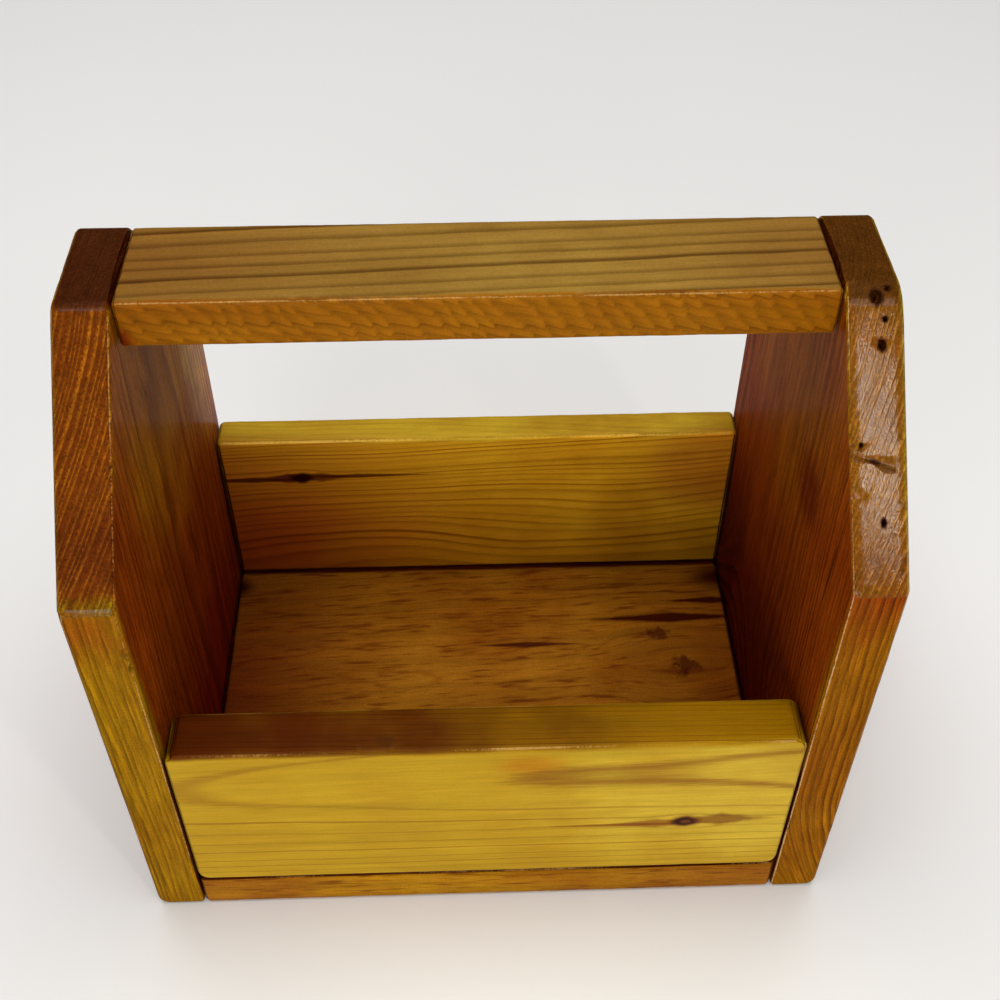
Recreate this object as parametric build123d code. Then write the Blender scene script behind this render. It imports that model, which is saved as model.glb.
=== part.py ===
from build123d import *
import os

# A small pine tool tote, nailed together from six boards: two upright ends, and
# between them a bottom, a front, a back and a plain board across the top as the
# handle. Nothing on it moves, and it has no drawer.
# Sizes are in millimetres. X runs along the handle, +Y is towards the back, and
# the origin is the middle of the footprint, on the surface the tote stands on.

# Whole tote
outer_length = 275.0

# End boards, grain upright, with both top corners cut off at 45 degrees
end_thickness = 19.0
end_width = 184.0
end_height = 257.0
corner_cut = 70.0  # each leg of a corner cut
top_bend_radius = 6.0  # wear where the flat top meets a corner cut
worn_bend_radius = 15.0  # the same place at the front of the right end
foot_radius = 5.0  # outer bottom edge of each end

# Boards between the ends
bottom_thickness = 19.0
side_height = 87.0  # front and back boards, above the bottom board
front_thickness = 20.0
back_thickness = 16.0
handle_thickness = 18.0
front_corner_radius = 4.0  # corners of the front board, seen from the front

# Every edge of every board is eased by hand
eased_edge = 2.0

# Finish nails, driven in and set below the surface, with filler over the heads
nail_length = 51.0
nail_shank = 2.5
nail_head = 3.5
nail_head_height = 1.8
nail_neck = 0.8  # taper from head to shank
nail_point = 3.5
nail_set = 1.2  # how far the head is set below the surface
nail_fit = 0.05  # between a nail or its filler and the wood around it
handle_nail_inset = 11.0  # from the handle's front and back faces
side_nail_inset = 18.0  # from the front and back boards' lower and upper edges
bottom_nail_inset = 25.0  # from the bottom board's front and back edges
upright_nail_inset = 58.0  # from the inner faces of the ends

# Old nail holes in the right end's front corner cut, left by an earlier use:
# distance in from the outer face, distance down the cut, diameter and depth
old_nail_holes = (
    (9.1, 2.2, 3.8, 7.0),
    (5.2, -0.8, 2.4, 6.0),
    (6.6, 9.5, 1.6, 4.0),
    (7.8, 17.9, 2.6, 5.0),
    (8.4, 75.5, 2.0, 4.0),
    (15.3, 50.1, 1.2, 3.0),
)

# A shallow saw nick across the same corner cut
nick_in = 11.0  # its middle, in from the outer face
nick_down = 55.7  # its middle, down the cut
nick_length = 14.0
nick_width = 0.9
nick_depth = 1.0
nick_slant = -17.0  # degrees, its inner end lies higher up the cut

# Places that follow from the sizes above
outer_face = outer_length / 2
inner_face = outer_face - end_thickness
half_width = end_width / 2
half_top = half_width - corner_cut
shoulder_height = end_height - corner_cut
side_top = bottom_thickness + side_height
front_middle = -half_width + front_thickness / 2
back_middle = half_width - back_thickness / 2
handle_middle = end_height - handle_thickness / 2

left_side = -1
right_side = 1


def sharp_edges(board):
    # Edges where two faces meet at a corner, not where a round runs out
    found = ShapeList()
    for edge in board.edges():
        middle = edge @ 0.5
        faces = [f for f in board.faces() if any(edge.is_same(e) for e in f.edges())]
        normals = [face.normal_at(middle) for face in faces]
        if normals[0].get_angle(normals[-1]) > 5:
            found.append(edge)
    return found


def ease(board):
    return fillet(sharp_edges(board), eased_edge)


def end_board(side, front_bend_radius):
    # The side view, drawn in Y and Z, carried across the board's thickness
    outline = Plane.YZ * Polyline(
        (-half_width, 0),
        (half_width, 0),
        (half_width, shoulder_height),
        (half_top, end_height),
        (-half_top, end_height),
        (-half_width, shoulder_height),
        close=True,
    )
    start = min(side * inner_face, side * outer_face)
    board = Pos(start, 0, 0) * extrude(make_face(outline), end_thickness, dir=(1, 0, 0))
    front_bend, back_bend = (
        board.edges().filter_by(Axis.X).group_by(Axis.Z)[-1].sort_by(Axis.Y)
    )
    board = fillet(front_bend, front_bend_radius)
    back_bend = board.edges().filter_by(Axis.X).group_by(Axis.Z)[-1].sort_by(Axis.Y)[-1]
    board = fillet(back_bend, top_bend_radius)
    foot = board.edges().filter_by(Axis.Y).group_by(Axis.Z)[0]
    board = fillet(foot.sort_by(Axis.X)[0 if side == left_side else -1], foot_radius)
    return ease(board)


def crosswise_board(width, height, middle_y, middle_z):
    # A board that fits between the ends
    return Pos(0, middle_y, middle_z) * Box(2 * inner_face, width, height)


def front_board():
    middle_z = bottom_thickness + side_height / 2
    board = crosswise_board(front_thickness, side_height, front_middle, middle_z)
    return ease(fillet(board.edges().filter_by(Axis.Y), front_corner_radius))


def back_board():
    middle_z = bottom_thickness + side_height / 2
    return ease(crosswise_board(back_thickness, side_height, back_middle, middle_z))


def bottom_board():
    return ease(crosswise_board(end_width, bottom_thickness, 0, bottom_thickness / 2))


def handle():
    return ease(crosswise_board(2 * half_top, handle_thickness, 0, handle_middle))


def turned(*points):
    # A solid turned about Z from half of its outline: distance out, then depth
    outline = Polyline(*[(out, 0, depth) for out, depth in points], close=True)
    return revolve(make_face(outline), Axis.Z)


def nail():
    # Along +Z, which points into the wood, from the face that it is driven into
    neck = nail_set + nail_head_height
    tip = nail_set + nail_length
    return turned(
        (0, nail_set),
        (nail_head / 2, nail_set),
        (nail_head / 2, neck),
        (nail_shank / 2, neck + nail_neck),
        (nail_shank / 2, tip - nail_point),
        (0, tip),
    )


def nail_hole():
    # What a nail and its filler take out of the wood, open at the face
    neck = nail_set + nail_head_height
    tip = nail_set + nail_length
    return turned(
        (0, -1),
        (nail_head / 2 + nail_fit, -1),
        (nail_head / 2 + nail_fit, neck + nail_fit),
        (nail_shank / 2 + nail_fit, neck + nail_neck + nail_fit),
        (nail_shank / 2 + nail_fit, tip - nail_point),
        (0, tip + 2 * nail_fit),
    )


def filler():
    return Pos(0, 0, nail_set / 2) * Cylinder(nail_head / 2, nail_set)


def through_end(side, places):
    # Where nails enter an end's outer face, pointing inwards, at each y and z
    inwards = (-side, 0, 0)
    return [
        Plane(origin=(side * outer_face, y, z), z_dir=inwards, x_dir=(0, 1, 0))
        for y, z in places
    ]


def from_below(y):
    # Where nails enter the bottom board's underside, pointing up
    reach = inner_face - upright_nail_inset
    return [Plane(origin=(x, y, 0), z_dir=(0, 0, 1)) for x in (-reach, 0, reach)]


def nail_places():
    low = bottom_thickness + side_nail_inset
    high = side_top - side_nail_inset
    handle_reach = half_top - handle_nail_inset
    bottom_reach = half_width - bottom_nail_inset
    board_places = {
        "handle": [(y, handle_middle) for y in (-handle_reach, handle_reach)],
        "front_board": [(front_middle, z) for z in (low, high)],
        "back_board": [(back_middle, z) for z in (low, high)],
        "bottom_board": [
            (y, bottom_thickness / 2) for y in (-bottom_reach, 0, bottom_reach)
        ],
    }
    groups = {}
    for board, places in board_places.items():
        groups["left_nails_" + board] = through_end(left_side, places)
        groups["right_nails_" + board] = through_end(right_side, places)
    groups["upright_nails_front_board"] = from_below(front_middle)
    groups["upright_nails_back_board"] = from_below(back_middle)
    return groups


def corner_cut_marks():
    # Old nail holes and a saw nick, in the right end's front corner cut
    cut = Plane(
        origin=(outer_face, -half_top, end_height), x_dir=(-1, 0, 0), z_dir=(0, -1, 1)
    )
    marks = [
        cut * Pos(across, down, 0) * Cylinder(diameter / 2, 2 * depth)
        for across, down, diameter, depth in old_nail_holes
    ]
    nick = Rot(0, 0, nick_slant) * Box(nick_length, nick_width, 2 * nick_depth)
    marks.append(cut * Pos(nick_in, nick_down, 0) * nick)
    return marks


def write(name, shape):
    shape.label = name
    export_step(shape, os.path.join("parts", name + ".step"))


def main():
    os.makedirs("parts", exist_ok=True)
    groups = nail_places()
    holes = {
        name: [place * nail_hole() for place in places]
        for name, places in groups.items()
    }
    boards = {
        "left_end": end_board(left_side, top_bend_radius),
        "right_end": end_board(right_side, worn_bend_radius),
        "bottom_board": bottom_board(),
        "front_board": front_board(),
        "back_board": back_board(),
        "handle": handle(),
    }
    carried_by = {"left": "left_end", "right": "right_end", "upright": "bottom_board"}
    fillers = {"left": [], "right": [], "upright": []}
    for name, places in groups.items():
        entry, _, board = name.partition("_nails_")
        for hole in holes[name]:
            boards[carried_by[entry]] -= hole
            boards[board] -= hole
        fillers[entry] += [place * filler() for place in places]
        write(name, Compound(children=[place * nail() for place in places]))
    for mark in corner_cut_marks():
        boards["right_end"] -= mark
    for name, board in boards.items():
        write(name, board)
    write("left_end_filler", Compound(children=fillers["left"]))
    write("right_end_filler", Compound(children=fillers["right"]))
    write("bottom_board_filler", Compound(children=fillers["upright"]))


main()
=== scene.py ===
import math

import bpy
from mathutils import Euler, Matrix, Vector, noise


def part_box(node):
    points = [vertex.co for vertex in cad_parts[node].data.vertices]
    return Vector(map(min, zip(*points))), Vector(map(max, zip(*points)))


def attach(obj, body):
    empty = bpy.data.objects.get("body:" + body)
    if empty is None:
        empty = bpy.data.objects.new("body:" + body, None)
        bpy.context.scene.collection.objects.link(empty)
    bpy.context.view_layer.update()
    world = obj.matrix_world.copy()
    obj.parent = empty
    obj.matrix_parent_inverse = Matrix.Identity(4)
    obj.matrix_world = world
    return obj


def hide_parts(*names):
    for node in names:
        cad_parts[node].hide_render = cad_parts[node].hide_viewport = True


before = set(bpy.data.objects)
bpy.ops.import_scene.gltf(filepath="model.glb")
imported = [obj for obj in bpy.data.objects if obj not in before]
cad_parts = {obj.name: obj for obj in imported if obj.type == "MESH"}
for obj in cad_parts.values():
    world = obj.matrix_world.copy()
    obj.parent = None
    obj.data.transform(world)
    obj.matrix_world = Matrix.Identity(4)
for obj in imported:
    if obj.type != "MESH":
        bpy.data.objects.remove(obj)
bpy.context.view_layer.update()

mm = 0.001


# small helpers
def hexColour(text):
    # sRGB hex to the linear colour that the shaders want
    channels = [int(text[i:i + 2], 16) / 255 for i in (1, 3, 5)]
    linear = [c / 12.92 if c <= 0.04045 else ((c + 0.055) / 1.055) ** 2.4 for c in channels]
    return (*linear, 1.0)


def addNode(tree, kind, inputs=None, output=0, **settings):
    # one node, its settings and its links; gives back the output that the next node reads
    node = tree.nodes.new("ShaderNode" + kind)
    for setting, value in settings.items():
        setattr(node, setting, value)
    for socket, value in (inputs or {}).items():
        if isinstance(value, bpy.types.NodeSocket):
            tree.links.new(value, node.inputs[socket])
        else:
            node.inputs[socket].default_value = value
    return node.outputs[output] if node.outputs else node


def startMaterial(name):
    # an empty material, and the place on the piece in mm
    material = bpy.data.materials.new(name)
    material.use_nodes = True
    tree = material.node_tree
    tree.nodes.clear()
    place = addNode(tree, "TexCoord", output="Object")
    inMm = addNode(tree, "VectorMath", {0: place, "Scale": 1 / mm}, operation="SCALE")
    return material, tree, inMm


def makeActive(piece):
    bpy.ops.object.select_all(action="DESELECT")
    piece.select_set(True)
    bpy.context.view_layer.objects.active = piece


# camera, at the height and distance the tote is seen from
cameraView = {
    "turn": 1.978,  # degrees to the right of square on
    "lookDown": 45.145,
    "roll": 0.136,
    "aim": (7.4, 0.0, 142.3),  # mm
    "distance": 528.0,
    "lens": 48.33,
    "frameWidth": 36,
    "nearest": 10,  # nothing closer than this is drawn
}


def placeCamera():
    turn, down, roll = (math.radians(cameraView[k]) for k in ("turn", "lookDown", "roll"))
    forward = Vector((math.sin(turn) * math.cos(down), math.cos(turn) * math.cos(down), -math.sin(down)))
    across = forward.cross(Vector((0, 0, 1))).normalized()
    up = across.cross(forward)
    right = across * math.cos(roll) + up * math.sin(roll)
    top = up * math.cos(roll) - across * math.sin(roll)
    place = Vector(cameraView["aim"]) * mm - forward * cameraView["distance"] * mm
    bpy.ops.object.camera_add()
    camera = bpy.context.object
    camera.name = "camera"
    rotation = Matrix((right, top, -forward)).transposed().to_4x4()
    camera.matrix_world = Matrix.Translation(place) @ rotation
    camera.data.lens = cameraView["lens"]
    camera.data.sensor_width = cameraView["frameWidth"]
    camera.data.clip_start = cameraView["nearest"] * mm
    bpy.context.scene.camera = camera


placeCamera()
print("camera placed")


# pine, as a solid of growth rings that every cut face shows in its own way
pineGrain = {
    # noise cells per mm; fibres are drawn about 0.8 mm wide, coarser than real ones, so that they show
    "fibre": 1.3,
    "streak": 0.2,
    "speck": 1.1,
    "blotch": 0.03,
    "markOutline": 0.3,
    "dash": (0.55, 0.55, 0.07),
    "growth": 0.11,  # how soon wide years follow narrow ones
    # nearly all of a noise lies between quiet and loud
    "quiet": 0.3,
    "loud": 0.7,
    "lineAt": 0.86,  # where in a year its line is darkest
    "sweepCurve": 1.6,
    # how far a face turns up, or across the grain, before a finish starts and when it is full
    "plainWay": (0.5, 0.9),
    "cutSpan": 0.4,
    "endWay": (0.74, 0.97),
    "slopeWay": (0.4, 0.62),
    # noise values where dashes, blotches and unfaded lines start and where they are full
    "dashAt": (0.54, 0.74),
    "blotchAt": (0.35, 0.7),
    "fadeAt": (0.3, 0.6),
    "patchEnd": 1.6,  # in half sizes of the patch
    "patchRagged": 0.8,
    "markRagged": 0.7,
    "markEdge": (0.15, -0.35),  # where a mark starts and where it is full, about its outline
    "wearBlotch": 1.2,
    "wearSpan": 0.35,
    "blotchRelief": 4.0,
    "glossSwing": 0.07,
    "reflection": "#fff0cf",  # amber varnish warms what it mirrors
}


def howFar(tree, inMm, spot, pointed=False):
    # 0 in the middle of a spot and 1 at its edge, for a round spot or a streak with pointed ends
    sized = addNode(tree, "Mapping", {0: inMm, 1: spot["at"], 2: spot.get("turn", (0, 0, 0)),
                                      3: spot["half"]}, vector_type="TEXTURE")
    if not pointed:
        return addNode(tree, "VectorMath", {0: sized}, "Value", operation="LENGTH")
    sized = addNode(tree, "VectorMath", {0: sized}, operation="ABSOLUTE")
    return addNode(tree, "VectorMath", {0: sized, 1: (1.0, 1.0, 1.0)}, "Value", operation="DOT_PRODUCT")


def logSpace(tree, inMm, look):
    # the place as seen from the heart of the log: two ways across it and one along it
    flowing = inMm
    for knot in look["knots"]:
        # rings flow round a knot: space is drawn in towards its middle
        pull = addNode(tree, "MapRange", {0: howFar(tree, inMm, knot), 1: 1.0, 2: 0.1,
                                          3: 0.0, 4: -knot["pull"]}, interpolation_type="SMOOTHSTEP")
        offset = addNode(tree, "VectorMath", {0: inMm, 1: knot["at"]}, operation="SUBTRACT")
        drawn = addNode(tree, "VectorMath", {0: offset, "Scale": pull}, operation="SCALE")
        flowing = addNode(tree, "VectorMath", {0: flowing, 1: drawn}, operation="ADD")
    axes = addNode(tree, "SeparateXYZ", {0: flowing}).node
    letters = {"x": axes.outputs["X"], "y": axes.outputs["Y"], "z": axes.outputs["Z"]}
    along = letters[look["grain"]]
    across = [letters[c] for c in "xyz" if c != look["grain"]]
    centred = []
    for letter, heart, lean, sweep in zip(across, look["heart"], look["lean"], look["sweep"]):
        leaned = addNode(tree, "Math", {0: along, 1: lean, 2: heart}, operation="MULTIPLY_ADD")
        if sweep:
            past = addNode(tree, "Math", {0: look["sweepFrom"], 1: along}, operation="SUBTRACT")
            past = addNode(tree, "Math", {0: past, 1: 0.0}, operation="MAXIMUM")
            past = addNode(tree, "Math", {0: past, 1: pineGrain["sweepCurve"]}, operation="POWER")
            leaned = addNode(tree, "Math", {0: past, 1: sweep, 2: leaned}, operation="MULTIPLY_ADD")
        centred.append(addNode(tree, "Math", {0: letter, 1: leaned}, operation="SUBTRACT"))
    wave, soften = None, None
    if look["ripple"]:
        # planer chatter breaks the lines of the front edge into short slanting strokes
        ripple = look["ripple"]
        uneven = addNode(tree, "TexNoise", {"Vector": inMm, "Scale": ripple["unevenSize"], "Detail": 1.0})
        step = addNode(tree, "Math", {0: along, 1: 1 / ripple["period"]}, operation="MULTIPLY")
        step = addNode(tree, "Math", {0: uneven, 1: ripple["uneven"], 2: step}, operation="MULTIPLY_ADD")
        step = addNode(tree, "Math", {0: centred[1], 1: ripple["slant"], 2: step}, operation="MULTIPLY_ADD")
        step = addNode(tree, "Math", {0: step, 1: 2 * math.pi}, operation="MULTIPLY")
        skew = addNode(tree, "Math", {0: step}, operation="SINE")
        step = addNode(tree, "Math", {0: skew, 1: ripple["skew"], 2: step}, operation="MULTIPLY_ADD")
        step = addNode(tree, "Math", {0: step}, operation="SINE")
        near = addNode(tree, "MapRange", {0: letters["y"], 1: ripple["from"], 2: ripple["to"],
                                          3: 0.0, 4: ripple["rise"]})
        centred[1] = addNode(tree, "Math", {0: step, 1: near, 2: centred[1]}, operation="MULTIPLY_ADD")
        wave = addNode(tree, "Math", {0: step, 1: near}, operation="MULTIPLY")
        soften = addNode(tree, "Math", {0: near, 1: -ripple["soften"], 2: 1.0}, operation="MULTIPLY_ADD")
    log = addNode(tree, "CombineXYZ", {0: centred[0], 1: centred[1], 2: along})
    return log, wave, soften


def bendGrain(tree, log, bends):
    # slow bends and small wobbles of the grain
    bent = log
    for size, strength, stretch, seed in bends:
        squeezed = addNode(tree, "Mapping", {0: log, 1: (seed, seed * 0.7, -seed),
                                             3: (1 / size, 1 / size, 1 / (size * stretch))})
        wobble = addNode(tree, "TexNoise", {"Vector": squeezed, "Scale": 1.0, "Detail": 0.0}, output="Color")
        evened = addNode(tree, "VectorMath", {0: wobble, 1: (0.5, 0.5, 0.5)}, operation="SUBTRACT")
        bent = addNode(tree, "VectorMath", {0: evened, 1: (2 * strength, 2 * strength, 0.0), 2: bent},
                       operation="MULTIPLY_ADD")
    return bent


def latewoodLines(tree, bent, fibre, broad, look):
    # one year: pale, then slowly darker, then the line ends; no two years are alike
    flat = addNode(tree, "VectorMath", {0: bent, 1: (1.0, 1.0, 0.0)}, operation="MULTIPLY")
    radius = addNode(tree, "VectorMath", {0: flat}, "Value", operation="LENGTH")
    growth = addNode(tree, "Math", {0: radius, 1: pineGrain["growth"]}, operation="MULTIPLY")
    growth = addNode(tree, "TexNoise", {"W": growth, "Scale": 1.0, "Detail": 1.0}, noise_dimensions="1D")
    years = addNode(tree, "Math", {0: radius, 1: 1 / look["ring"]}, operation="MULTIPLY")
    years = addNode(tree, "Math", {0: growth, 1: look["uneven"], 2: years}, operation="MULTIPLY_ADD")
    years = addNode(tree, "Math", {0: fibre, 1: look["fuzz"], 2: years}, operation="MULTIPLY_ADD")
    phase = addNode(tree, "Math", {0: years}, operation="FRACT")
    rise = addNode(tree, "MapRange", {0: phase, 1: look["lateFrom"], 2: pineGrain["lineAt"], 3: 0.0, 4: 1.0},
                   interpolation_type="SMOOTHSTEP")
    drop = addNode(tree, "MapRange", {0: phase, 1: pineGrain["lineAt"], 2: 1.0, 3: 1.0, 4: 0.0},
                   interpolation_type="SMOOTHSTEP")
    late = addNode(tree, "Math", {0: rise, 1: drop}, operation="MULTIPLY")
    whichYear = addNode(tree, "Math", {0: years}, operation="FLOOR")
    yearTone = addNode(tree, "TexWhiteNoise", {"W": whichYear}, noise_dimensions="1D")
    yearTone = addNode(tree, "MapRange", {0: yearTone, 3: look["faintYear"], 4: 1.0})
    late = addNode(tree, "Math", {0: late, 1: yearTone}, operation="MULTIPLY")
    faint, full = pineGrain["fadeAt"]
    fading = addNode(tree, "MapRange", {0: broad, 1: faint, 2: full, 3: look["fading"], 4: 1.0})
    return addNode(tree, "Math", {0: late, 1: fading}, operation="MULTIPLY")


def pineMaterial(name, look):
    # Varnished pine: pale earlywood and darker latewood lines where each year ends, fine fibres
    # along the grain, knots that the rings flow round. Cuts across the grain drank more stain,
    # so there the earlywood is dark and the hard latewood stays lighter.
    material, tree, inMm = startMaterial(name)
    quiet, loud = pineGrain["quiet"], pineGrain["loud"]
    log, wave, soften = logSpace(tree, inMm, look)
    bent = bendGrain(tree, log, look["bends"])
    fibreSpace = addNode(tree, "VectorMath", {0: bent, 1: (1.0, 1.0, look["fibreRun"])}, operation="MULTIPLY")
    fibre = addNode(tree, "TexNoise", {"Vector": fibreSpace, "Scale": pineGrain["fibre"], "Detail": 2.0,
                                       "Roughness": 0.6})
    broad = addNode(tree, "TexNoise", {"Vector": fibreSpace, "Scale": pineGrain["streak"], "Detail": 2.0})
    late = latewoodLines(tree, bent, fibre, broad, look)
    if look["ripple"]:
        late = addNode(tree, "Math", {0: late, 1: soften}, operation="MULTIPLY")

    # the back board's top shows hardly any lines
    faceWay = addNode(tree, "SeparateXYZ", {0: addNode(tree, "TexCoord", output="Normal")}).node
    start, full = pineGrain["plainWay"]
    plain = addNode(tree, "MapRange", {0: faceWay.outputs["Z"], 1: start, 2: full,
                                       3: 1.0, 4: 1 - look["plainTop"]})
    late = addNode(tree, "Math", {0: late, 1: plain}, operation="MULTIPLY")

    # colour along the grain and on cuts across it
    longTone = addNode(tree, "Mix", {0: late, 6: hexColour(look["early"]), 7: hexColour(look["late"])},
                       output=2, data_type="RGBA")
    cutTone = addNode(tree, "Mix", {0: late, 6: hexColour(look["cutEarly"]), 7: hexColour(look["cutLate"])},
                      output=2, data_type="RGBA")
    cut = addNode(tree, "Math", {0: faceWay.outputs[look["grain"].upper()]}, operation="ABSOLUTE")
    cutMix = addNode(tree, "MapRange", {0: cut, 1: look["cutFrom"], 2: look["cutFrom"] + pineGrain["cutSpan"],
                                        3: 0.0, 4: 1.0})
    colour = addNode(tree, "Mix", {0: cutMix, 6: longTone, 7: cutTone}, output=2, data_type="RGBA")
    start, full = pineGrain["endWay"]
    endMix = addNode(tree, "MapRange", {0: cut, 1: start, 2: full, 3: 0.0, 4: 1.0})
    colour = addNode(tree, "Mix", {0: endMix, 6: colour, 7: hexColour(look["endTone"])},
                     output=2, data_type="RGBA")

    # fibres, streaks and specks make it lighter and darker
    speck = addNode(tree, "TexNoise", {"Vector": inMm, "Scale": pineGrain["speck"], "Detail": 2.0})
    tone = 1.0
    for pattern, strength in ((fibre, look["fibre"]), (broad, look["streak"]), (speck, look["speck"])):
        shade = addNode(tree, "MapRange", {0: pattern, 1: quiet, 2: loud, 3: 1 - strength, 4: 1 + strength},
                        clamp=False)
        tone = addNode(tree, "Math", {0: shade, 1: tone}, operation="MULTIPLY")
    if look["ripple"]:
        tone = addNode(tree, "Math", {0: wave, 1: look["ripple"]["shade"], 2: tone}, operation="MULTIPLY_ADD")
    colour = addNode(tree, "VectorMath", {0: colour, "Scale": tone}, operation="SCALE")

    # blotches of stain, and patches where the colour of this very board differs or where shade, sheen and
    # reflection are painted
    blotch = addNode(tree, "TexNoise", {"Vector": inMm, "Scale": pineGrain["blotch"], "Detail": 3.0})
    start, full = pineGrain["blotchAt"]
    blotchMix = addNode(tree, "MapRange", {0: blotch, 1: start, 2: full, 3: 0.0, 4: look["blotchy"]})
    colour = addNode(tree, "Mix", {0: blotchMix, 6: colour, 7: hexColour(look["blotch"])},
                     output=2, data_type="RGBA", blend_type="MULTIPLY")
    patchEnd = pineGrain["patchEnd"]
    for patch in look["patches"]:
        near = addNode(tree, "Math", {0: blotch, 1: pineGrain["patchRagged"], 2: howFar(tree, inMm, patch)},
                       operation="MULTIPLY_ADD")
        amount = addNode(tree, "MapRange", {0: near, 1: patchEnd, 2: patchEnd - patch["soft"],
                                            3: 0.0, 4: 1.0}, interpolation_type="SMOOTHSTEP")
        colour = addNode(tree, "Mix", {0: amount, 6: colour, 7: (*patch["tone"], 1.0)},
                         output=2, data_type="RGBA", blend_type="MULTIPLY")

    # worn edges: varnish and stain rubbed thin along the arrises, and a painted highlight along them
    worn = addNode(tree, "Attribute", output="Fac", attribute_name="wear")
    rubbed = addNode(tree, "Math", {0: blotch, 1: pineGrain["wearBlotch"], 2: speck},
                     operation="MULTIPLY_ADD")
    rubbed = addNode(tree, "Math", {0: worn, 1: rubbed}, operation="MULTIPLY")
    wornAndHighlightMix = addNode(tree, "MapRange", {0: rubbed, 1: look["wearFrom"],
                                         2: look["wearFrom"] + pineGrain["wearSpan"],
                                         3: 0.0, 4: look["wearShow"]})
    colour = addNode(tree, "Mix", {0: wornAndHighlightMix, 6: colour, 7: hexColour(look["wornAndHighlightTone"])},
                     output=2, data_type="RGBA")

    # dark marks: resin dashes all over, pitch streaks pointed at both ends, and round ones
    dashSpace = addNode(tree, "VectorMath", {0: log, 1: pineGrain["dash"]}, operation="MULTIPLY")
    dashes = addNode(tree, "TexNoise", {"Vector": dashSpace, "Scale": 1.0, "Detail": 1.0})
    start, full = pineGrain["dashAt"]
    dark = addNode(tree, "MapRange", {0: dashes, 1: start, 2: full, 3: 0.0, 4: look["dashes"]})
    colour = addNode(tree, "Mix", {0: dark, 6: colour, 7: hexColour(look["dashTone"])},
                     output=2, data_type="RGBA")
    wander = addNode(tree, "TexNoise", {"Vector": inMm, "Scale": pineGrain["markOutline"], "Detail": 2.0})
    outside, inside = pineGrain["markEdge"]
    dull = 0.0
    for mark in look["marks"]:
        ragged = mark.get("ragged", pineGrain["markRagged"])
        middle = 1.0 + 0.5 * ragged
        reach = howFar(tree, inMm, mark, pointed=not mark.get("round"))
        reach = addNode(tree, "Math", {0: wander, 1: ragged, 2: reach}, operation="MULTIPLY_ADD")
        amount = addNode(tree, "MapRange", {0: reach, 1: middle + outside, 2: middle + inside,
                                            3: 0.0, 4: mark["dark"]})
        markTone = hexColour(mark.get("tone", look["markTone"]))
        colour = addNode(tree, "Mix", {0: amount, 6: colour, 7: markTone}, output=2, data_type="RGBA")
        dull = addNode(tree, "Math", {0: amount, 1: dull}, operation="MAXIMUM")

    # relief: the fibres show through the varnish, and on the ends the latewood stands proud
    relief = addNode(tree, "Math", {0: blotch, 1: pineGrain["blotchRelief"], 2: fibre},
                     operation="MULTIPLY_ADD")
    if look["ridges"]:
        relief = addNode(tree, "Math", {0: late, 1: look["ridges"], 2: relief}, operation="MULTIPLY_ADD")
    bump = addNode(tree, "Bump", {"Height": relief, "Strength": 1.0, "Distance": look["relief"] * mm})
    gentle = addNode(tree, "Bump", {"Height": relief, "Strength": 1.0, "Distance": look["coatRelief"] * mm})
    swing = pineGrain["glossSwing"]
    gloss = addNode(tree, "MapRange", {0: fibre, 1: quiet, 2: loud,
                                       3: look["rough"] + swing, 4: look["rough"] - swing})

    # lacquer: thick on the sloping cuts, gone where a mark is, and a breath of it on some flats
    slope = addNode(tree, "Math", {0: faceWay.outputs["Y"]}, operation="ABSOLUTE")
    start, full = pineGrain["slopeWay"]
    slope = addNode(tree, "MapRange", {0: slope, 1: start, 2: full, 3: 0.0, 4: look["coat"]})
    lacquer = addNode(tree, "Math", {0: slope, 1: cutMix}, operation="MULTIPLY")
    whole = addNode(tree, "Math", {0: 1.0, 1: dull}, operation="SUBTRACT", use_clamp=True)
    lacquer = addNode(tree, "Math", {0: lacquer, 1: whole}, operation="MULTIPLY")
    for sheen in look["sheens"]:
        amount = addNode(tree, "MapRange", {0: howFar(tree, inMm, sheen), 1: 1.0, 2: 0.3,
                                            3: 0.0, 4: sheen["coat"]})
        lacquer = addNode(tree, "Math", {0: lacquer, 1: amount}, operation="MAXIMUM")
    shader = addNode(tree, "BsdfPrincipled", {
        "Base Color": colour, "Roughness": gloss, "Normal": bump, "IOR": look["ior"],
        "Specular Tint": hexColour(pineGrain["reflection"]),
        "Coat Weight": lacquer, "Coat Normal": gentle, "Coat Roughness": look["coatRough"]})
    addNode(tree, "OutputMaterial", {"Surface": shader})
    return material


# modelling by hand
handwork = {
    "alongAxis": 0.9,  # how nearly an edge or a normal has to follow an axis to count as doing so
    "sameLevel": 0.1,  # mm
    "sharp": 30,  # degrees between two faces that make an arris
    "smooth": 40,
    "easeSteps": 4,
    "planeReach": 0.01,  # mm, points this close to a slice are taken to lie on it
    "mergeReach": 0.04,
    "pocketGap": 0.05,
}
boxWays = [(1, 0, 0), (-1, 0, 0), (0, 1, 0), (0, -1, 0), (0, 0, 1), (0, 0, -1)]
slopeWays = [(0, -1, 1), (0, 1, 1)]


def addBlock(name, low, high):
    centre, size = (low + high) / 2, high - low
    bpy.ops.object.select_all(action="DESELECT")
    bpy.ops.mesh.primitive_cube_add(size=1, location=centre)
    piece = bpy.context.object
    piece.name = piece.data.name = name
    piece.scale = size
    bpy.ops.object.transform_apply(location=True, rotation=True, scale=True)
    return piece


def clearSelection(kind):
    # in edit mode, with nothing selected
    bpy.ops.object.mode_set(mode="EDIT")
    bpy.ops.mesh.select_mode(type=kind)
    bpy.ops.mesh.select_all(action="DESELECT")


def bevelSelected(radius, steps):
    bpy.ops.mesh.bevel(offset=radius * mm, offset_type="OFFSET", segments=steps, profile=0.5,
                       clamp_overlap=False)
    bpy.ops.object.mode_set(mode="OBJECT")


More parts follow.
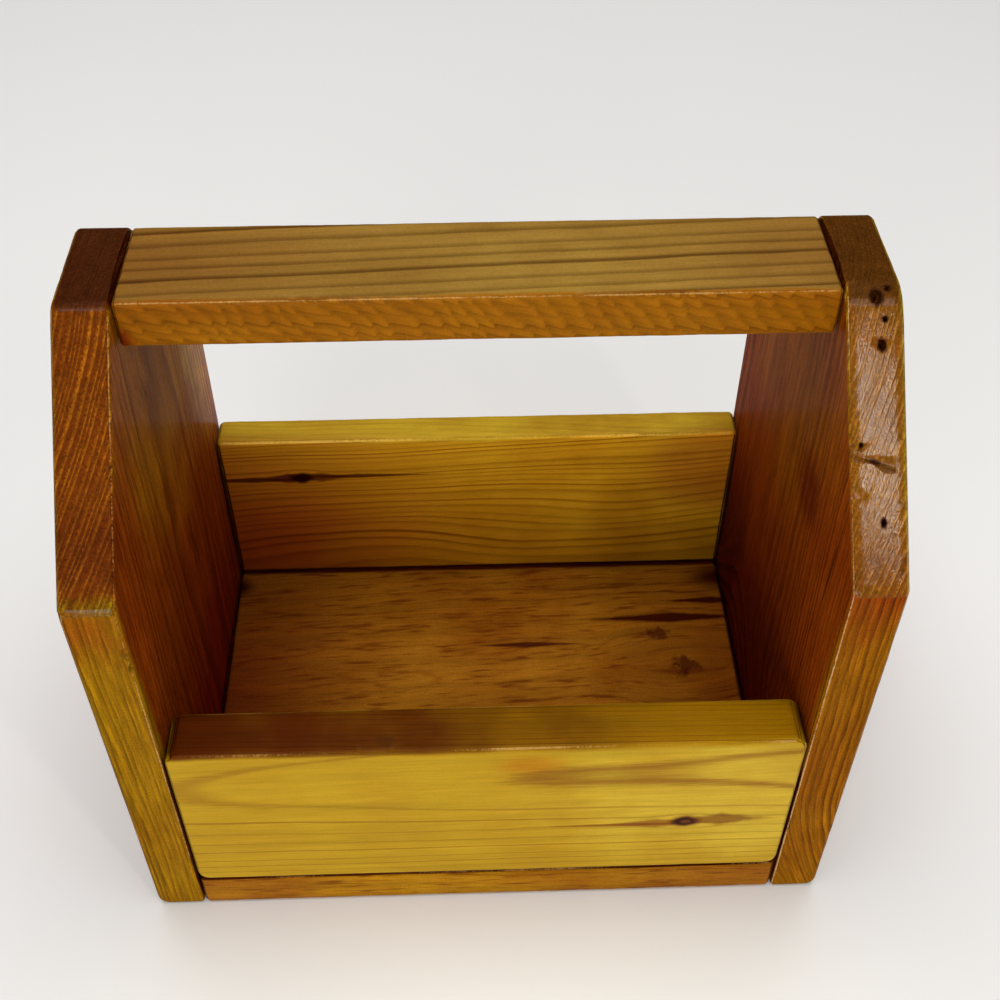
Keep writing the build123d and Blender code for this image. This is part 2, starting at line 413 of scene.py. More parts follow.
def bevelEdges(piece, axis, wanted, radius, steps):
    # rounds the edges that run along an axis and whose middle is wanted
    makeActive(piece)
    clearSelection("EDGE")
    bpy.ops.object.mode_set(mode="OBJECT")
    vertices = piece.data.vertices
    for edge in piece.data.edges:
        first, second = (vertices[i].co for i in edge.vertices)
        direction = (second - first).normalized()
        edge.select = abs(direction[axis]) > handwork["alongAxis"] and wanted((first + second) / 2)
    bpy.ops.object.mode_set(mode="EDIT")
    bevelSelected(radius, steps)


def easeSharpEdges(piece, radius):
    makeActive(piece)
    clearSelection("EDGE")
    bpy.ops.mesh.edges_select_sharp(sharpness=math.radians(handwork["sharp"]))
    bevelSelected(radius, handwork["easeSteps"])


def level(first, second):
    return abs(first - second) < handwork["sameLevel"] * mm


def boardBox(piece):
    points = [v.co for v in piece.data.vertices]
    low = Vector([min(p[i] for p in points) for i in range(3)])
    high = Vector([max(p[i] for p in points) for i in range(3)])
    return low, high


def evenPlaces(low, high, pitch):
    count = max(1, round((high - low) / pitch))
    return [low + (high - low) * i / count for i in range(1, count)]


def nickSlices(wear):
    # extra slices through the nicks: an axis and a place on it
    places = []
    for place, size, deep in wear["nicks"]:
        for axis in range(3):
            places += [(axis, (place[axis] + size * step) * mm) for step in (-0.7, -0.3, 0.1, 0.5)]
    return places


def sliceBoard(piece, pitch, extra):
    # cuts right through the board, so that wear and dents have points to move
    low, high = boardBox(piece)
    makeActive(piece)
    bpy.ops.object.mode_set(mode="EDIT")
    for axis in range(3):
        normal = [0, 0, 0]
        normal[axis] = 1
        places = evenPlaces(low[axis], high[axis], pitch[axis] * mm)
        places += [p for which, p in extra if which == axis]
        for place in places:
            point = [0, 0, 0]
            point[axis] = place
            bpy.ops.mesh.select_all(action="SELECT")
            bpy.ops.mesh.bisect(plane_co=point, plane_no=normal, threshold=handwork["planeReach"] * mm)
    bpy.ops.mesh.select_all(action="SELECT")
    bpy.ops.mesh.remove_doubles(threshold=handwork["mergeReach"] * mm)
    bpy.ops.object.mode_set(mode="OBJECT")


wearGrain = {
    "ragged": 140, "fine": 420, "patchy": 22, "wander": 30,  # noise cells per metre
    "arrisTurn": 0.2,  # how far a point's normal leans off its face where the wear is full
    "least": 0.35,  # of the wear, where it is thinnest
    "leastShown": 0.4,
    "buttBlend": 5,
    "shownBlend": 6,
}


def wearBoard(piece, faceWays, wear, grain, buttFrom):
    # rubs the arrises down unevenly, lets the flats wander a little, and presses the nicks in
    mesh = piece.data
    ways = [Vector(way).normalized() for way in faceWays]
    patchyFrom, wanderFrom = Vector((wear["seed"], 0, 0)), Vector((0, wear["seed"], 0))
    shade = mesh.attributes.new("wear", "FLOAT", "POINT")
    moved = []
    for vertex in mesh.vertices:
        point, way = vertex.co.copy(), vertex.normal.copy()
        arris = min(1.0, (1 - max(way.dot(w) for w in ways)) / wearGrain["arrisTurn"])
        ragged = (0.5 + 0.5 * noise.noise(point * wearGrain["ragged"])
                  + 0.25 * noise.noise(point * wearGrain["fine"]))
        patchy = 0.5 + 0.5 * noise.noise(point * wearGrain["patchy"] + patchyFrom)
        depth = arris * wear["arris"] * max(0.0, ragged) * (wearGrain["least"] + patchy)
        depth += wear["wander"] * (0.5 + 0.5 * noise.noise(point * wearGrain["wander"] + wanderFrom))
        for place, size, deep in wear["nicks"]:
            gap = (point - Vector(place) * mm).length / (size * mm)
            if gap < 1:
                depth += deep * (1 - gap * gap)
                arris = max(arris, 1 - gap)
        # no pale wear or painted highlight on butt ends, nor on faces that turn away from the front and the
        # back
        butt = min(1.0, max(0.0, abs(way[grain]) - buttFrom) * wearGrain["buttBlend"])
        shown = min(1.0, max(0.0, (abs(way.y) - wear["shownFrom"]) * wearGrain["shownBlend"]))
        shade.data[vertex.index].value = arris * (wearGrain["leastShown"] + patchy) * (1 - butt) * shown
        moved.append(point - way * depth * mm)
    for vertex, place in zip(mesh.vertices, moved):
        vertex.co = place
    mesh.update()


def carve(piece, cutters):
    # takes the cutters out of the piece, then throws them away
    for cutter in cutters:
        makeActive(piece)
        cut = piece.modifiers.new("carve", "BOOLEAN")
        cut.operation, cut.solver, cut.object = "DIFFERENCE", "MANIFOLD", cutter
        bpy.ops.object.modifier_apply(modifier=cut.name)
        bpy.data.objects.remove(cutter)


def nailPockets(nodes):
    # copies of the nails and fillers, grown a little, to cut their holes with
    cutters = []
    for node in nodes:
        makeActive(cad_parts[node])
        bpy.ops.object.duplicate()
        cutter = bpy.context.object
        cutter.parent = None
        cutter.name = "pocket"
        makeActive(cutter)
        bpy.ops.object.mode_set(mode="EDIT")
        bpy.ops.mesh.select_all(action="SELECT")
        bpy.ops.mesh.remove_doubles(threshold=handwork["planeReach"] * mm)
        bpy.ops.transform.shrink_fatten(value=handwork["pocketGap"] * mm)
        bpy.ops.object.mode_set(mode="OBJECT")
        cutters.append(cutter)
    return cutters


def finishBoard(piece, node, look):
    makeActive(piece)
    bpy.ops.object.shade_smooth_by_angle(angle=math.radians(handwork["smooth"]))
    piece.data.materials.clear()
    piece.data.materials.append(pineMaterial("varnished_pine_" + node, look))
    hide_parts(node)
    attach(piece, "root")
    print(piece.name, "made,", len(piece.data.polygons), "faces")


# end boards; lengths in mm, and a nick is its place, its radius and its depth
endBoards = {
    "eased": 1.6,
    "foot": 5.0,
    "backBend": 2.5,  # how far a worn bend runs from its corner
    "pitch": (4.0, 2.5, 2.5),
    "buttFrom": 0.72,
    "left_end": {
        "frontBend": 2.5,
        "wear": {"arris": 0.6, "wander": 0.12, "seed": 3.0, "shownFrom": 0.25,
                 "nicks": [((-119, -92, 166), 2.4, 1.2), ((-119, -91, 158), 1.8, 0.9),
                           ((-137, -92, 186), 2.0, 0.8), ((-119, -58, 221), 1.6, 0.7)]},
    },
    "right_end": {
        "frontBend": 6.2,
        "wear": {"arris": 0.7, "wander": 0.12, "seed": 11.0, "shownFrom": 0.25,
                 "nicks": [((119, -70, 209), 1.8, 0.8), ((119, -92, 150), 1.6, 0.7)]},
        # in the front corner cut: in from the outer face, down the cut, wide across and down, deep
        "oldHoles": [(9.1, 2.0, 3.4, 4.8, 6.0), (5.0, -1.0, 2.6, 2.0, 5.0), (6.6, 9.5, 1.6, 1.8, 4.0),
                     (7.8, 17.9, 2.2, 3.4, 5.0), (8.4, 75.5, 1.6, 2.6, 4.0), (15.3, 50.1, 1.1, 1.3, 2.5)],
        "sawNick": {"in": 11.0, "down": 55.7, "length": 14.5, "width": 1.2, "slant": -17.0},
    },
}
oldHoles = endBoards["right_end"]["oldHoles"]
sawNick = endBoards["right_end"]["sawNick"]


def onCorner(across, below, slant=0.0):
    # a place on the right end's front corner cut, in mm, and the turn that lies flat on it
    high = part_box("right_end")[1]
    corner = Vector((high.x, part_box("handle")[0].y, high.z)) / mm
    inwards = Vector((-1, 0, 0))
    down = Vector((0, -1, -1)).normalized()
    out = Vector((0, -1, 1)).normalized()
    flat = Matrix((inwards, down, out)).transposed() @ Matrix.Rotation(math.radians(slant), 3, "Z")
    return {"at": tuple(corner + inwards * across + down * below), "turn": tuple(flat.to_euler())}


# how pine looks; later boards start from an earlier one. Places and sizes in mm, a patch multiplies
# the colour round "at", and a bend is its size, its strength, its stretch along the grain and a seed
endPine = {
    "grain": "z", "heart": (-278.0, 10.0), "lean": (0.0, 0.0), "sweep": (0, 0), "sweepFrom": 0.0,
    "ripple": None, "ring": 1.9, "uneven": 3.0, "fuzz": 0.5,
    "lateFrom": 0.3, "faintYear": 0.3, "fading": 0.45,
    "bends": [(55.0, 4.0, 4.0, 1.3), (12.0, 0.4, 3.0, 4.1)],
    "early": "#96440a", "late": "#642604", "cutEarly": "#6a3004", "cutLate": "#a8620e", "endTone": "#46200a",
    "cutFrom": 0.1, "plainTop": 0.0,
    "blotchy": 0.35, "blotch": "#c88080", "fibre": 0.3, "fibreRun": 0.05, "streak": 0.16, "speck": 0.16,
    "dashes": 0.0, "dashTone": "#3c1204", "markTone": "#200603",
    "knots": [], "marks": [], "patches": [], "sheens": [],
    "wearFrom": 0.8, "wearShow": 0.8, "wornAndHighlightTone": "#d09c58",
    "relief": 0.4, "ridges": 1.4, "rough": 0.55, "ior": 1.06,
    "coat": 0.3, "coatRough": 0.09, "coatRelief": 0.03,
}
# painted shade and dirt: the colour that darkens the joints and corners between boards
jointShadeAndDirt = (0.16, 0.06, 0.08)
goldenEdge = {"at": (0, -92, 70), "half": (300, 6, 145), "soft": 0.5, "tone": (1.06, 2.7, 0.6)}
# painted sheen: the upper part of an end's inner face lighter and olive
paintedOliveSheen = {"at": (-118.5, 20, 215), "half": (1.2, 80, 80), "soft": 0.8, "tone": (1.3, 2.5, 1.0)}
# painted shade: an end's inner face darker towards its foot, deep in the box
paintedShadeFoot = {"at": (-118.5, 0, 10), "half": (1.2, 110, 105), "soft": 1.0, "tone": (0.57, 0.22, 1.2)}
# painted reflection: a pale tan sheen near the back of the left end's inner face
paintedBackReflection = {"at": (-118.5, 84, 205), "half": (1.2, 32, 100), "soft": 0.9, "tone": (2.2, 4.2, 4.0)}
amberFace = {"at": (-137.5, 0, 128), "half": (1.5, 400, 400), "soft": 0.5, "tone": (1.15, 1.75, 1.0)}
amberRim = {"at": (-137.5, -92, 70), "half": (1.5, 6, 145), "soft": 0.5, "tone": (0.85, 0.52, 1.0)}


def jointShadeAndDirtPatches(side):
    # painted shade and dirt in the joints where the boards butt against an end
    inner = side * (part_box("right_end")[0].x / mm)
    return [{"at": (inner, 0, 257), "half": (1.3, 24, 4), "soft": 0.3, "tone": jointShadeAndDirt},
            {"at": (inner, -91.5, 53), "half": (0.8, 3, 50), "soft": 0.3, "tone": jointShadeAndDirt},
            {"at": (inner, 76, 62), "half": (2, 1.6, 50), "soft": 0.6, "tone": jointShadeAndDirt},
            {"at": (inner, 0, 19), "half": (2, 92, 1.6), "soft": 0.6, "tone": jointShadeAndDirt}]


leftPine = dict(
    endPine,
    # the inner face carries painted sheen, painted shade and a painted reflection, and the joints painted
    # shade and dirt
    patches=[goldenEdge, paintedOliveSheen, paintedShadeFoot, paintedBackReflection, amberFace, amberRim,
             {"at": (-128, -78, 201), "half": (30, 13, 13), "soft": 0.8, "tone": (0.72, 0.64, 0.8)},
             *jointShadeAndDirtPatches(-1)],
    sheens=[{"at": (-118.5, 0, 150), "half": (22, 500, 700), "coat": 0.03},
            {"at": (-118.5, 100, 190), "half": (8, 62, 160), "coat": 0.26}])

holeMarks = [dict(onCorner(across, below), half=(width * 0.8, tall * 0.8, 4.0), round=True,
                  dark=0.95, ragged=0.4)
             for across, below, width, tall, deep in oldHoles]
nickMark = dict(onCorner(sawNick["in"], sawNick["down"], sawNick["slant"]),
                half=(sawNick["length"] / 2, 1.1, 2.0), dark=0.9, ragged=0.3)
scratch = {"at": (118.5, -69, 178), "half": (3, 0.9, 31), "turn": (0.05, 0, 0), "dark": 0.75,
           "tone": "#300a02", "ragged": 0.2}
rightPine = dict(
    endPine, heart=(-30.0, 30.0), sweep=(0.02, 0), sweepFrom=70.0, wearFrom=0.65, wornAndHighlightTone="#dcb078",
    cutEarly="#7c4a0a", cutLate="#b07a24", endTone="#54300a", coat=0.52, coatRough=0.07, coatRelief=0.045,
    sheens=[{"at": (118.5, 0, 150), "half": (22, 500, 700), "coat": 0.02}],
    marks=[*holeMarks, nickMark, scratch],
    patches=[dict(goldenEdge, tone=(1.0, 1.85, 0.6)),
             dict(amberFace, at=(137.5, 0, 128)),
             dict(amberRim, at=(137.5, -92, 70)),
             # painted sheen and painted shade on the right end's inner face, as on the left
             dict(paintedOliveSheen, at=(118.5, 20, 215), tone=(1.05, 1.5, 0.4)),
             dict(paintedShadeFoot, at=(118.5, 0, 10), half=(1.2, 110, 130), tone=(0.37, 0.14, 1.2)),
             {"at": (118.5, 60, 60), "half": (1.2, 30, 60), "soft": 0.9, "tone": (0.6, 0.4, 1.0)},
             {"at": (118.5, -30, 174), "half": (1.2, 20, 16), "soft": 0.8, "tone": (0.7, 0.5, 0.8)},
             {"at": (128, -92, 5), "half": (20, 8, 20), "soft": 0.5, "tone": (1.05, 1.1, 0.6)},
             *jointShadeAndDirtPatches(1)])


def placeCutter(spot, size, tilt=0.0):
    # lays the new primitive on the corner cut, at its size in mm
    cutter = bpy.context.object
    laid = Matrix.Translation(Vector(spot["at"]) * mm) @ Euler(spot["turn"]).to_matrix().to_4x4()
    stretch = Matrix.Diagonal((*(side * mm for side in size), 1))
    cutter.matrix_world = laid @ Matrix.Rotation(math.radians(tilt), 4, "X") @ stretch
    bpy.ops.object.transform_apply(location=True, rotation=True, scale=True)
    return cutter


def cornerCutters():
    cutters = []
    for across, below, width, tall, deep in oldHoles:
        bpy.ops.object.select_all(action="DESELECT")
        bpy.ops.mesh.primitive_cone_add(vertices=14, radius1=0.3, radius2=0.62, depth=2)
        cutters.append(placeCutter(onCorner(across, below), (width, tall, deep)))
    spot = onCorner(sawNick["in"], sawNick["down"], sawNick["slant"])
    bpy.ops.object.select_all(action="DESELECT")
    bpy.ops.mesh.primitive_cube_add(size=1)
    cutters.append(placeCutter(spot, (sawNick["length"], sawNick["width"], sawNick["width"]), tilt=45))
    return cutters


def makeEnd(node, outward):
    settings = endBoards[node]
    low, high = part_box(node)
    handleLow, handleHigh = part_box("handle")
    cornerCut = handleLow.y - low.y
    piece = addBlock(node + "_board", low, Vector((high.x, high.y, high.z - cornerCut)))

    # the top is drawn up and narrowed, which leaves the sloping corner cuts
    clearSelection("FACE")
    bpy.ops.object.mode_set(mode="OBJECT")
    for face in piece.data.polygons:
        face.select = face.normal.z > handwork["alongAxis"]
    bpy.ops.object.mode_set(mode="EDIT")
    bpy.ops.mesh.extrude_region_move(TRANSFORM_OT_translate={"value": (0, 0, cornerCut)})
    narrowed = (handleHigh.y - handleLow.y) / (high.y - low.y)
    bpy.ops.transform.resize(value=(1, narrowed, 1))
    bpy.ops.object.mode_set(mode="OBJECT")

    outerX = low.x if outward < 0 else high.x
    bevelEdges(piece, 0, lambda m: level(m.z, high.z) and m.y < 0, settings["frontBend"], steps=7)
    bevelEdges(piece, 0, lambda m: level(m.z, high.z) and level(m.y, handleHigh.y), endBoards["backBend"],
               steps=5)
    bevelEdges(piece, 1, lambda m: level(m.z, low.z) and level(m.x, outerX), endBoards["foot"], steps=6)
    easeSharpEdges(piece, endBoards["eased"])
    sliceBoard(piece, endBoards["pitch"], nickSlices(settings["wear"]))
    wearBoard(piece, boxWays + slopeWays, settings["wear"], 2, endBoards["buttFrom"])
    if outward > 0:
        carve(piece, cornerCutters())
    return piece


betweenBoards = ("handle", "front_board", "back_board", "bottom_board")
for side, outward, look in (("left", -1, leftPine), ("right", 1, rightPine)):
    end = makeEnd(side + "_end", outward)
    carve(end, nailPockets([side + "_end_filler"] + [side + "_nails_" + board for board in betweenBoards]))
    finishBoard(end, side + "_end", look)


# boards between the ends; lengths in mm
crossBoards = {
    "gap": 0.35,  # the open joint at each end
    "buttFrom": 0.05,
    "cornerSteps": 6,
}
frontBoard = {
    "eased": 1.5, "corner": 5.0, "pitch": (2.5, 4.0, 2.5),
    "wear": {"arris": 0.7, "wander": 0.12, "seed": 21.0, "shownFrom": -1.0,
             "nicks": [((-116.5, -91, 105), 1.6, 0.8), ((-35, -91, 106), 1.4, 0.5),
                       ((-47, -91, 106), 1.6, 0.5)]},
    "nails": ["upright_nails_front_board"],
}
frontPine = dict(
    endPine, grain="x", heart=(8.55, 87.0), lean=(-0.012, 0.02), ring=2.3, uneven=0.8, fuzz=0.15,
    bends=[(75.0, 1.0, 3.0, 2.3), (18.0, 0.4, 4.0, 7.1)], lateFrom=0.76, faintYear=0.4, fading=0.6,
    # the cut tones are very dark: end grain drinks stain, and the butt ends carry painted shade and dirt of
    # the joints
    early="#b89218", late="#86560a", cutEarly="#3a1603", cutLate="#4a2004", endTone="#1c0a02", cutFrom=0.5,
    blotchy=0.3, blotch="#e0c090", fibre=0.08, fibreRun=0.04, streak=0.08, speck=0.04, markTone="#2a0803",
    wearFrom=0.85, wearShow=0.7, wornAndHighlightTone="#c89a58", relief=0.12, ridges=0.0, rough=0.42, ior=1.15, coat=0.0,
    knots=[{"at": (77.3, -92.0, 53.6), "half": (20, 20, 9), "pull": 0.8}],
    marks=[{"at": (54.0, -92, 52.0), "half": (44, 8, 1.3), "dark": 0.8, "tone": "#7a3c06", "ragged": 0.2},
           {"at": (66.0, -92, 52.6), "half": (20, 8, 3.4), "dark": 0.7, "tone": "#7a3c06", "ragged": 0.2},
           {"at": (91.0, -92, 54.4), "half": (20, 8, 4.6), "dark": 0.75, "tone": "#6e3206", "ragged": 0.3},
           {"at": (77.3, -92, 53.6), "half": (6.4, 8, 4.4), "dark": 0.85, "tone": "#6a2c06", "round": True,
            "ragged": 0.3},
           {"at": (77.0, -92, 53.4), "half": (5.0, 6, 3.2), "dark": 0.97, "tone": "#2a0803", "round": True,
            "ragged": 0.4},
           {"at": (77.6, -92, 53.2), "half": (2.2, 6, 1.4), "dark": 0.4, "tone": "#8a4a1a", "round": True,
            "ragged": 0.4},
           {"at": (-37.5, -87, 106), "half": (4.4, 3.2, 3), "dark": 0.6, "tone": "#4a2406", "round": True,
            "ragged": 1.2}],
    patches=[{"at": (0, -82, 107), "half": (300, 13, 5), "soft": 0.5, "tone": (0.7, 0.56, 0.1)},
             {"at": (-135, -82, 106.5), "half": (215, 40, 3), "soft": 0.9, "tone": (0.28, 0.1, 0.3)},
             {"at": (125, -92, 70), "half": (110, 4, 60), "soft": 1.0, "tone": (1.25, 1.42, 3.4)},
             {"at": (16, -92, 95), "half": (15, 5, 7), "soft": 0.9, "tone": (0.98, 0.72, 0.4)},
             {"at": (0, -90, 19), "half": (300, 4, 1.3), "soft": 0.3, "tone": jointShadeAndDirt}])

backBoard = {
    "eased": 2.0, "corner": 2.0, "pitch": (2.5, 4.0, 2.5),
    "wear": {"arris": 0.7, "wander": 0.12, "seed": 31.0, "shownFrom": -1.0,
             "nicks": [((5, 76, 106), 2.0, 0.6)]},
    "nails": ["upright_nails_back_board"],
}
backPine = dict(
    frontPine, heart=(166.0, 2.0), lean=(0.01, 0.05), ring=2.3, uneven=1.6,
    bends=[(50.0, 5.0, 2.2, 5.3), (18.0, 0.6, 3.0, 7.1)], lateFrom=0.4, faintYear=0.3, plainTop=0.65,
    early="#e4ac20", late="#9a5c0a", blotchy=0.5, blotch="#c8a070", wearFrom=0.7, wornAndHighlightTone="#e8b850",
    knots=[{"at": (-81.7, 76.0, 83.2), "half": (18, 20, 8), "pull": 0.8}],
    marks=[{"at": (-104.0, 76, 82.2), "half": (34, 8, 1.7), "dark": 0.9, "tone": "#400c04", "ragged": 0.3},
           {"at": (-88.0, 76, 83.0), "half": (14, 8, 3.4), "dark": 0.85, "tone": "#48140a", "ragged": 0.3},
           {"at": (-56.0, 76, 83.8), "half": (40, 8, 1.5), "dark": 0.85, "tone": "#481404", "ragged": 0.3},
           {"at": (-73.0, 76, 83.4), "half": (16, 8, 3.2), "dark": 0.8, "tone": "#481404", "ragged": 0.3},
           {"at": (-81.7, 76, 83.2), "half": (5.4, 6, 3.6), "dark": 0.97, "tone": "#200402", "round": True,
            "ragged": 0.5}],
    # painted shade: the back board's inner face darker and redder towards the left end
    patches=[{"at": (-125, 76, 40), "half": (130, 10, 90), "soft": 1.1, "tone": (0.56, 0.21, 0.6)},
             {"at": (120, 76, 85), "half": (45, 8, 30), "soft": 0.6, "tone": (0.75, 0.58, 0.9)},
             {"at": (0, 84, 107), "half": (300, 9, 4), "soft": 0.3, "tone": (0.62, 0.74, 1.2)}])

bottomBoard = {
    "eased": 2.0, "corner": 2.0, "pitch": (2.5, 2.5, 4.0),
    "wear": {"arris": 0.7, "wander": 0.15, "seed": 41.0, "shownFrom": -1.0, "nicks": []},
    "nails": ["bottom_board_filler", "upright_nails_front_board", "upright_nails_back_board"],
}
bottomPine = dict(
    frontPine, heart=(10.0, -60.0), lean=(0.04, 0.0), ring=2.6, uneven=3.0, fuzz=0.5,
    bends=[(60.0, 6.0, 3.0, 2.3), (14.0, 1.2, 2.0, 7.1)],
    early="#a36a16", late="#8a500c", blotchy=0.5, blotch="#b87850", fibre=0.12, streak=0.15, speck=0.12,
    dashes=0.65, dashTone="#5a1a06", markTone="#3e0c04", ior=1.08,
    knots=[{"at": (94.3, 11.5, 19.0), "half": (50, 32, 30), "pull": 0.7}],
    marks=[{"at": (94.3, 11.5, 19), "half": (6.5, 5.5, 6), "dark": 0.75, "round": True, "ragged": 2.0},
           {"at": (90.0, 40.5, 19), "half": (46, 3.4, 8), "dark": 0.97, "ragged": 0.25},
           {"at": (112.0, 51, 19), "half": (26, 2.4, 8), "dark": 0.95, "ragged": 0.25},
           {"at": (84.0, 30, 19), "half": (5, 4.0, 8), "dark": 0.7, "round": True, "ragged": 2.4},
           {"at": (21.0, 26, 19), "half": (27, 1.9, 8), "dark": 0.9, "ragged": 0.25}],
    # painted shade: the bottom board darker near both ends, where the end boards shade it; the joints and
    # back corners carry painted shade and dirt
    patches=[{"at": (-118, 0, 19), "half": (72, 120, 12), "soft": 1.2, "tone": (0.45, 0.22, 0.4)},
             {"at": (118, -10, 19), "half": (50, 120, 12), "soft": 1.2, "tone": (0.8, 0.6, 0.6)},
             {"at": (0, 76, 19), "half": (300, 2.2, 6), "soft": 0.8, "tone": jointShadeAndDirt},
             {"at": (118, 66, 19), "half": (16, 9, 6), "soft": 1.0, "tone": jointShadeAndDirt},
             {"at": (-118, 66, 19), "half": (9, 8, 6), "soft": 1.0, "tone": jointShadeAndDirt},
             {"at": (0, -90.5, 19), "half": (300, 3, 1.2), "soft": 0.3, "tone": jointShadeAndDirt},
             {"at": (-10, -92, 10), "half": (95, 3, 16), "soft": 0.8, "tone": (1.2, 1.45, 0.7)}])

handleBoard = {
    "eased": 1.3, "corner": 1.3, "pitch": (2.5, 2.5, 3.0),
    "wear": {"arris": 0.8, "wander": 0.12, "seed": 51.0, "shownFrom": -1.0,
             "nicks": [((-60, -21.5, 256.5), 2.2, 0.6), ((-53, -21.5, 256.5), 2.0, 0.6),
                       ((7, -21.5, 256.5), 1.8, 0.7), ((32, -21.5, 256.5), 2.2, 0.7)]},
    "nails": [],
}
handlePine = dict(
    frontPine, heart=(107.0, 79.0), lean=(0.05, 0.0), ring=3.4, uneven=1.0, fuzz=0.16,
    bends=[(80.0, 3.0, 4.0, 5.3), (20.0, 0.5, 3.0, 9.1)], lateFrom=0.45, faintYear=0.5, fading=0.7,
    ripple={"period": 7.2, "uneven": 2.5, "unevenSize": 0.05, "slant": 0.11, "skew": -0.5,
            "from": -20.5, "to": -22.0, "rise": 0.9, "soften": 0.6, "shade": 0.16},
    early="#9c7830", late="#5a3808", blotchy=0.4, blotch="#b08050", streak=0.06, speck=0.08,
    wearFrom=0.62, knots=[], marks=[],
    patches=[{"at": (0, -24, 248), "half": (300, 4.5, 13), "soft": 0.3, "tone": (0.98, 0.62, 0.08)},
             {"at": (-118, -22, 242), "half": (6, 6, 6), "soft": 0.9, "tone": (0.6, 0.25, 0.5)},
             {"at": (-130, 0, 257), "half": (110, 40, 14), "soft": 1.2, "tone": (0.68, 0.5, 0.45)},
             {"at": (130, 0, 257), "half": (80, 40, 14), "soft": 1.2, "tone": (0.75, 0.62, 0.6)}])


def makeCrossBoard(node, settings, look):
    low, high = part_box(node)
    low.x += crossBoards["gap"] * mm
    high.x -= crossBoards["gap"] * mm
    piece = addBlock(node + "_plank", low, high)
    if settings["corner"] > settings["eased"]:
        bevelEdges(piece, 1, lambda m: True, settings["corner"], crossBoards["cornerSteps"])
    easeSharpEdges(piece, settings["eased"])
    sliceBoard(piece, settings["pitch"], nickSlices(settings["wear"]))
    wearBoard(piece, boxWays, settings["wear"], 0, crossBoards["buttFrom"])
    carve(piece, nailPockets(["left_nails_" + node, "right_nails_" + node] + settings["nails"]))
    finishBoard(piece, node, look)


makeCrossBoard("front_board", frontBoard, frontPine)
makeCrossBoard("back_board", backBoard, backPine)
makeCrossBoard("bottom_board", bottomBoard, bottomPine)
makeCrossBoard("handle", handleBoard, handlePine)


# nails and the filler over them
fastenings = {
    "steel": "#a9a8a4", "tarnish": "#5d5148", "tarnishSize": 2.5,  # noise cells per mm
    "puttyDark": "#7a3f0a", "puttyLight": "#94560f", "gritSize": 3.5, "gritDepth": 0.1,
}


def steelMaterial():
    # Drawn steel of finish nails, gone dull: a grey metal with brownish, rougher spots.
    material, tree, inMm = startMaterial("drawn_steel_nail")
    spots = addNode(tree, "TexNoise", {"Vector": inMm, "Scale": fastenings["tarnishSize"], "Detail": 3.0})
    tarnish = addNode(tree, "MapRange", {0: spots, 1: 0.4, 2: 0.7, 3: 0.0, 4: 0.8})
    colour = addNode(tree, "Mix", {0: tarnish, 6: hexColour(fastenings["steel"]),
                                   7: hexColour(fastenings["tarnish"])}, output=2, data_type="RGBA")
    rough = addNode(tree, "MapRange", {0: spots, 3: 0.28, 4: 0.6})
    shader = addNode(tree, "BsdfPrincipled", {"Base Color": colour, "Metallic": 1.0, "Roughness": rough})
    addNode(tree, "OutputMaterial", {"Surface": shader})
    return material


def fillerMaterial():
    # Putty pressed over the sunk nails and varnished with the boards: a flat ochre with fine grit.
    material, tree, inMm = startMaterial("varnished_wood_putty")
    grit = addNode(tree, "TexNoise", {"Vector": inMm, "Scale": fastenings["gritSize"], "Detail": 4.0})
    toneMix = addNode(tree, "MapRange", {0: grit, 1: 0.35, 2: 0.65, 3: 0.0, 4: 1.0})
    colour = addNode(tree, "Mix", {0: toneMix, 6: hexColour(fastenings["puttyDark"]),
                                   7: hexColour(fastenings["puttyLight"])}, output=2, data_type="RGBA")
    bump = addNode(tree, "Bump", {"Height": grit, "Distance": fastenings["gritDepth"] * mm})
    rough = addNode(tree, "MapRange", {0: grit, 3: 0.45, 4: 0.65})
    shader = addNode(tree, "BsdfPrincipled", {"Base Color": colour, "Roughness": rough, "Normal": bump,
                                              "IOR": 1.3})
    addNode(tree, "OutputMaterial", {"Surface": shader})
    return material


nailSteel, putty = steelMaterial(), fillerMaterial()
for name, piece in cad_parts.items():
    if "nails" in name or "filler" in name:
        piece.data.materials.clear()
        piece.data.materials.append(nailSteel if "nails" in name else putty)
print("nails and putty finished")


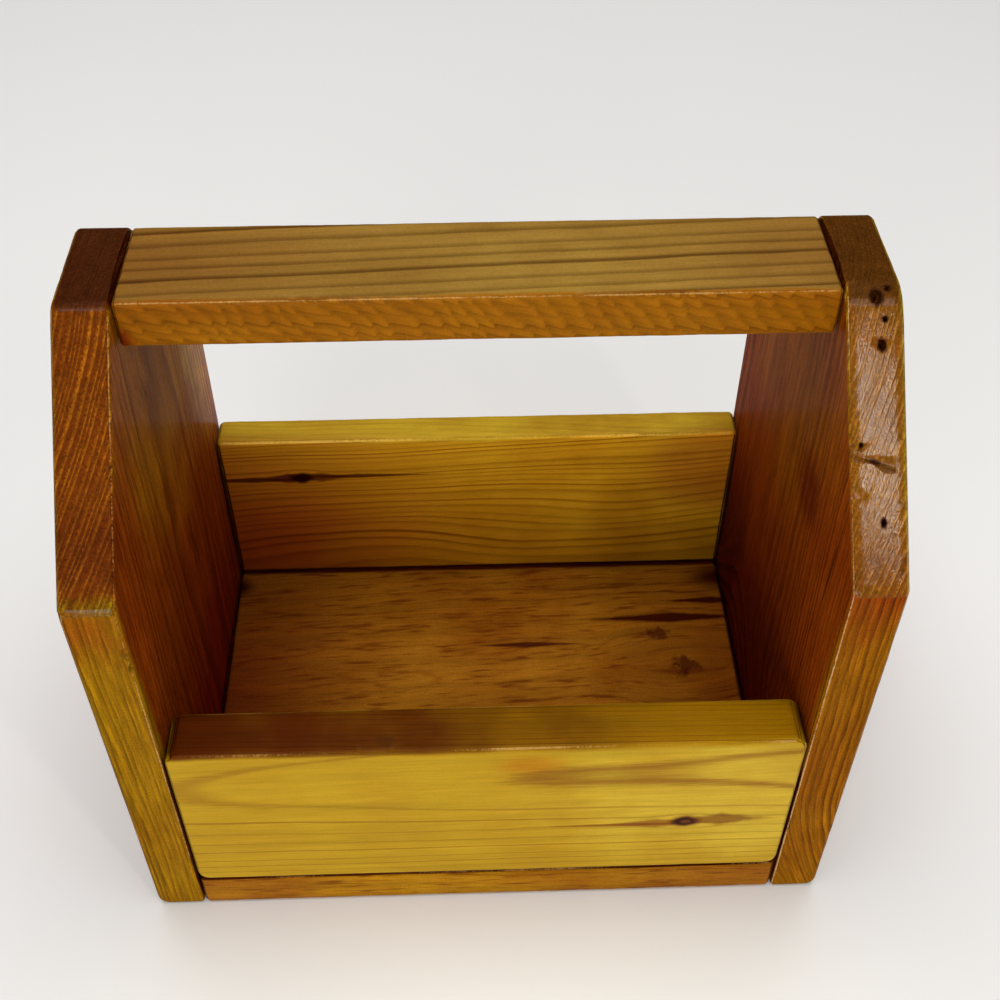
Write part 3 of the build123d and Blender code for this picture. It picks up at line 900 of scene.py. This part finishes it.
# studio
studio = {
    "floorSize": 6.0, "floorTone": "#f4f3f1", "floorGrain": 900.0,  # noise cells across the floor
    "roomTone": "#ffffff", "roomStrength": 0.15,
    "aim": (0, 0, 0.1),
    "lamps": [  # name, place in metres, width and height, watts, tone
        ("windowRight", (0.386, -0.672, 0.893), (0.044, 0.235), 0.95, "#fff4e4"),
        ("softboxFront", (-0.3, -1.6, 0.55), (1.0, 1.0), 14.2, "#ffffff"),
        ("softboxAbove", (0.0, 0.2, 2.1), (2.0, 2.0), 38.0, "#ffffff"),
    ],
}


def paperMaterial():
    # Matt backdrop paper: plain off-white, hardly any gloss.
    material = bpy.data.materials.new("pale_paper_floor")
    material.use_nodes = True
    tree = material.node_tree
    tree.nodes.clear()
    grain = addNode(tree, "TexNoise", {"Scale": studio["floorGrain"], "Detail": 2.0})
    rough = addNode(tree, "MapRange", {0: grain, 3: 0.85, 4: 0.95})
    shader = addNode(tree, "BsdfPrincipled", {"Base Color": hexColour(studio["floorTone"]),
                                              "Roughness": rough})
    addNode(tree, "OutputMaterial", {"Surface": shader})
    return material


def buildStudio():
    bpy.ops.object.select_all(action="DESELECT")
    bpy.ops.mesh.primitive_plane_add(size=studio["floorSize"])
    floor = bpy.context.object
    floor.name = "studio_floor"
    floor.data.materials.append(paperMaterial())
    world = bpy.data.worlds.new("studio_room")
    world.use_nodes = True
    room = world.node_tree.nodes["Background"]
    room.inputs["Color"].default_value = hexColour(studio["roomTone"])
    room.inputs["Strength"].default_value = studio["roomStrength"]
    bpy.context.scene.world = world
    for name, place, size, watts, tone in studio["lamps"]:
        bpy.ops.object.light_add(type="AREA", location=place)
        lamp = bpy.context.object
        lamp.name = name
        lamp.data.shape = "RECTANGLE"
        lamp.data.size, lamp.data.size_y = size
        lamp.data.energy = watts
        lamp.data.color = hexColour(tone)[:3]
        aim = Vector(studio["aim"]) - Vector(place)
        lamp.rotation_euler = aim.to_track_quat("-Z", "Y").to_euler()
    bpy.context.scene.view_settings.view_transform = "Standard"


buildStudio()
print("studio lit")
